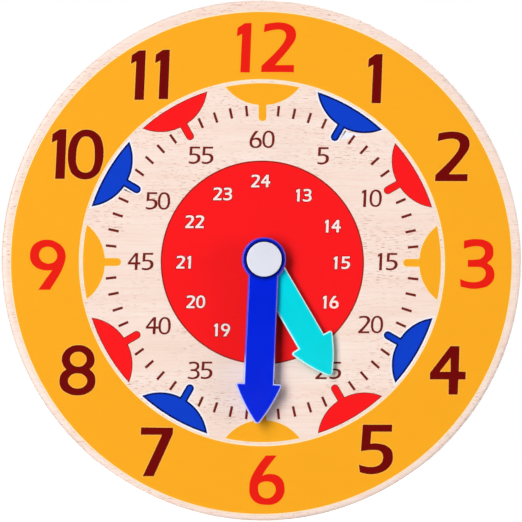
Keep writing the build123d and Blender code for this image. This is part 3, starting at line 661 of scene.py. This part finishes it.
def markerOutline():
    # a shallow bowl hung from the yellow ring, with a round-ended pin below it
    outer, half, low = markers["outerRadius"], markers["halfChord"], markers["bulgeLow"]
    edge = math.sqrt(outer ** 2 - half ** 2)
    bulge = (half ** 2 + (edge - low) ** 2) / (2 * (edge - low))
    pin, end = markers["pinWidth"] / 2, markers["pinEnd"] + markers["pinWidth"] / 2
    topAngle = math.asin(half / outer)
    sideAngle = math.asin(half / bulge)
    pinAngle = math.asin(pin / bulge)
    rimSteps, sideSteps = markers["rimSteps"], markers["sideSteps"]
    rimAngles = [k * topAngle / rimSteps for k in range(1 - rimSteps, rimSteps)]
    rim = [(outer * math.sin(a), outer * math.cos(a)) for a in rimAngles]
    side = [sideAngle + (pinAngle - sideAngle) * k / sideSteps for k in range(1, sideSteps)]
    right = [(bulge * math.sin(a), low + bulge * (1 - math.cos(a))) for a in side]
    root = low + bulge * (1 - math.cos(pinAngle))
    footSteps = markers["footSteps"]
    halfTurn = [math.pi * k / footSteps for k in range(1, footSteps)]
    foot = [(pin * math.cos(a), end - pin * math.sin(a)) for a in halfTurn]
    left = [(-x, y) for x, y in reversed(right)]
    return ([(-half, edge, 1)] + rim + [(half, edge, 1)] + right + [(pin, root, 1), (pin, end, 1)]
            + foot + [(-pin, end, 1), (-pin, root, 1)] + left)


inkMaterials = {name: screenInk(name, hexColour) for name, hexColour in inks.items()}
ringOuter, ringInner = dialPrint["ringOuter"], dialPrint["ringInner"]
bleed, disc = dialPrint["bleed"], dialPrint["discRadius"]
film("yellow_bleed", [roundOutline(ringOuter + bleed), roundOutline(ringInner - bleed)[::-1]],
     "yellow_bleed", 0)
film("yellow_ring", [roundOutline(ringOuter), roundOutline(ringInner)[::-1]], "sun_yellow", 1)
film("red_disc_edge", [roundOutline(disc + dialPrint["keyline"])], "outline_red", 0)
film("red_disc", [roundOutline(disc)], "signal_red", 1)
hourTurn, minuteTurn = 30, 6  # degrees
for hours, films in markers["films"].items():
    outlines = [turned(markerOutline(), hourTurn * hour) for hour in hours]
    for layer, (name, ink, spread) in enumerate(films):
        film(name, outlines, ink, layer, spread)
ticks = {
    "inner": 84.7,
    "outer": 90.8,
    "width": 1.45,
}
side = ticks["width"] / 2
tick = [(-side, ticks["inner"], 1), (-side, ticks["outer"], 1), (side, ticks["outer"], 1),
        (side, ticks["inner"], 1)]
film("minute_ticks", [turned(tick, minuteTurn * minute) for minute in range(60) if minute % 5],
     "tick_brown", 1)
bolder = hourNumerals["bolder"]
darkDigits = digitRow(hourNumerals["dark"], hourNumerals["height"])
redDigits = digitRow(hourNumerals["red"], hourNumerals["height"])
film("hour_numeral_bleed", darkDigits, "orange_bleed", 2, bolder + hourNumerals["bleed"])
film("dark_hour_numerals", darkDigits, "oxblood", 3, bolder)
film("red_hour_numerals", redDigits, "numeral_red", 3, bolder)
minuteDigits = digitRow(minuteNumerals["digits"], minuteNumerals["height"])
film("minute_numerals", minuteDigits, "tick_brown", 2, minuteNumerals["thinner"])
dayDigits = digitRow(dayNumerals["digits"], dayNumerals["height"])
film("day_numeral_shadow", dayDigits, "deep_red", 2, dayNumerals["shadow"])
film("day_numerals", dayDigits, "numeral_white", 3, dayNumerals["bolder"])
print("dial printed")


# places and sizes in metres, power in watts; the tall key keeps the gap between the hands dark
# but the shadows of their tips soft, fill and rim only graze the dial and light its rounded edge
softboxes = {
    "key": {"place": (-2.72, -3.28, 1.05), "wide": 1.9, "tall": 6.0, "power": 256.0},
    "fill": {"place": (2.2, -0.45, 0.3), "wide": 1.4, "tall": 1.4, "power": 34.0},
    "rim": {"place": (-0.3, -0.1, -1.5), "wide": 0.4, "tall": 0.4, "power": 8.0},
    "back": {"place": (0.6, 1.6, 1.2), "wide": 1.0, "tall": 1.0, "power": 30.0},
}


def softbox(name, place, wide, tall, power):
    light = bpy.data.lights.new(name + "_softbox", "AREA")
    light.shape = "RECTANGLE"
    light.size, light.size_y = wide, tall
    light.energy = power
    lamp = bpy.data.objects.new(name + "_softbox", light)
    bpy.context.scene.collection.objects.link(lamp)
    lamp.location = place
    lamp.rotation_euler = (-Vector(place)).to_track_quat("-Z", "Y").to_euler()


# brightness of what the lamps leave to the sweep and of the dark room, and how far a look has to
# point forwards, as a cosine, where the sweep turns into the room
sweep = {
    "ambient": 0.08,
    "roomLevel": 0.03,
    "roomEdge": -0.95,
    "sweepEdge": -0.6,
}


def whiteSweep():
    # the eye and glass see pure white and little of it lights the clock; gloss shows
    # the same white all round, but for the dark room in front of the dial
    world = bpy.data.worlds.new("white_sweep")
    bpy.context.scene.world = world
    world.use_nodes = True
    sky = world.node_tree
    sky.nodes.clear()
    path = add(sky, "ShaderNodeLightPath").outputs
    seen = add(sky, "ShaderNodeMath", {
        0: path["Is Camera Ray"], 1: path["Is Transmission Ray"]}, operation="MAXIMUM").outputs[0]
    towards = add(sky, "ShaderNodeTexCoord").outputs["Generated"]
    front = add(sky, "ShaderNodeSeparateXYZ", {"Vector": towards}).outputs["Y"]
    room = add(sky, "ShaderNodeMapRange", {
        "Value": front, "From Min": sweep["roomEdge"], "From Max": sweep["sweepEdge"],
        "To Min": sweep["roomLevel"], "To Max": 1.0}).outputs["Result"]
    unseen = add(sky, "ShaderNodeMix", {
        "Factor": path["Is Glossy Ray"], 2: sweep["ambient"], 3: room},
        data_type="FLOAT").outputs[0]  # sockets 2 and 3 hold its two values
    level = add(sky, "ShaderNodeMath", {0: seen, 1: unseen}, operation="MAXIMUM").outputs[0]
    white = add(sky, "ShaderNodeBackground", {"Color": (1, 1, 1, 1), "Strength": level})
    add(sky, "ShaderNodeOutputWorld", {"Surface": white.outputs["Background"]})


floorPaper = {
    "size": 3.0,
    "shader": {"Roughness": 0.9, "Specular IOR Level": 0.1, "Emission Color": (1, 1, 1, 1)},
    "fibres": {"sizes": (3.0, 3.0, 3.0)},
    "pale": "#F6F6F6",
    "paleFibre": "#F0F0F0",
    "dark": "#606060",
    "darkFibre": "#5A5A5A",
    "glow": 0.5,
    "near": 0.3,
    "far": 0.9,
}


def palePaper():
    # the eye, gloss and glass see white paper that keeps a shadow;
    # to other light it is dark, so that little comes back to the clock
    material, tree, shader = startMaterial("pale_paper_floor", floorPaper["shader"])
    fibres = speckle(tree, **floorPaper["fibres"])
    path = add(tree, "ShaderNodeLightPath").outputs
    seen = add(tree, "ShaderNodeMath", {
        0: path["Is Camera Ray"], 1: path["Is Glossy Ray"]}, operation="MAXIMUM").outputs[0]
    seen = add(tree, "ShaderNodeMath", {
        0: seen, 1: path["Is Transmission Ray"]}, operation="MAXIMUM").outputs[0]
    dark = layered(tree, floorPaper["dark"], (fibres, floorPaper["darkFibre"]))
    pale = layered(tree, floorPaper["pale"], (fibres, floorPaper["paleFibre"]))
    dress(tree, shader, layered(tree, dark, (seen, pale)))
    # the paper runs out to pure white past the reach of the lamps
    place = add(tree, "ShaderNodeTexCoord").outputs["Object"]
    away = add(tree, "ShaderNodeVectorMath", {0: place}, operation="LENGTH").outputs["Value"]
    whiteness = add(tree, "ShaderNodeMapRange", {
        "Value": away, "From Min": floorPaper["near"], "From Max": floorPaper["far"],
        "To Min": floorPaper["glow"], "To Max": 1.0}).outputs["Result"]
    glow = add(tree, "ShaderNodeMath", {0: seen, 1: whiteness}, operation="MULTIPLY").outputs[0]
    tree.links.new(glow, shader.inputs["Emission Strength"])
    return material


def layFloor():
    half, height = floorPaper["size"], cadBox[0].z
    corners = [(-half, -half, height), (half, -half, height), (half, half, height),
               (-half, half, height)]
    mesh = bpy.data.meshes.new("studio_floor")
    mesh.from_pydata(corners, [], [(0, 1, 2, 3)])
    mesh.materials.append(palePaper())
    floor = bpy.data.objects.new("studio_floor", mesh)
    bpy.context.scene.collection.objects.link(floor)
    floor.visible_shadow = False  # the rim softbox stands under the paper


view = {
    "lens": 300.0,
    "sensor": 36.0,
    "distance": 2505.6,
    "azimuth": -4.5,
    "elevation": -2.0,
    "aim": (-1.17, -25.3, -0.7),
}


def placeCamera():
    camera = bpy.data.objects.new("camera", bpy.data.cameras.new("camera"))
    bpy.context.scene.collection.objects.link(camera)
    camera.data.lens = view["lens"]
    camera.data.sensor_width = view["sensor"]
    turn, rise = math.radians(view["azimuth"]), math.radians(view["elevation"])
    back = Vector((math.sin(turn) * math.cos(rise), -math.cos(turn) * math.cos(rise),
                   math.sin(rise)))
    camera.location = Vector(view["aim"]) * mm + back * view["distance"] * mm
    camera.rotation_euler = (-back).to_track_quat("-Z", "Y").to_euler()
    bpy.context.scene.camera = camera


for name, box in softboxes.items():
    softbox(name, **box)
whiteSweep()
layFloor()
placeCamera()
bpy.context.scene.view_settings.view_transform = "Standard"
print("studio lit")
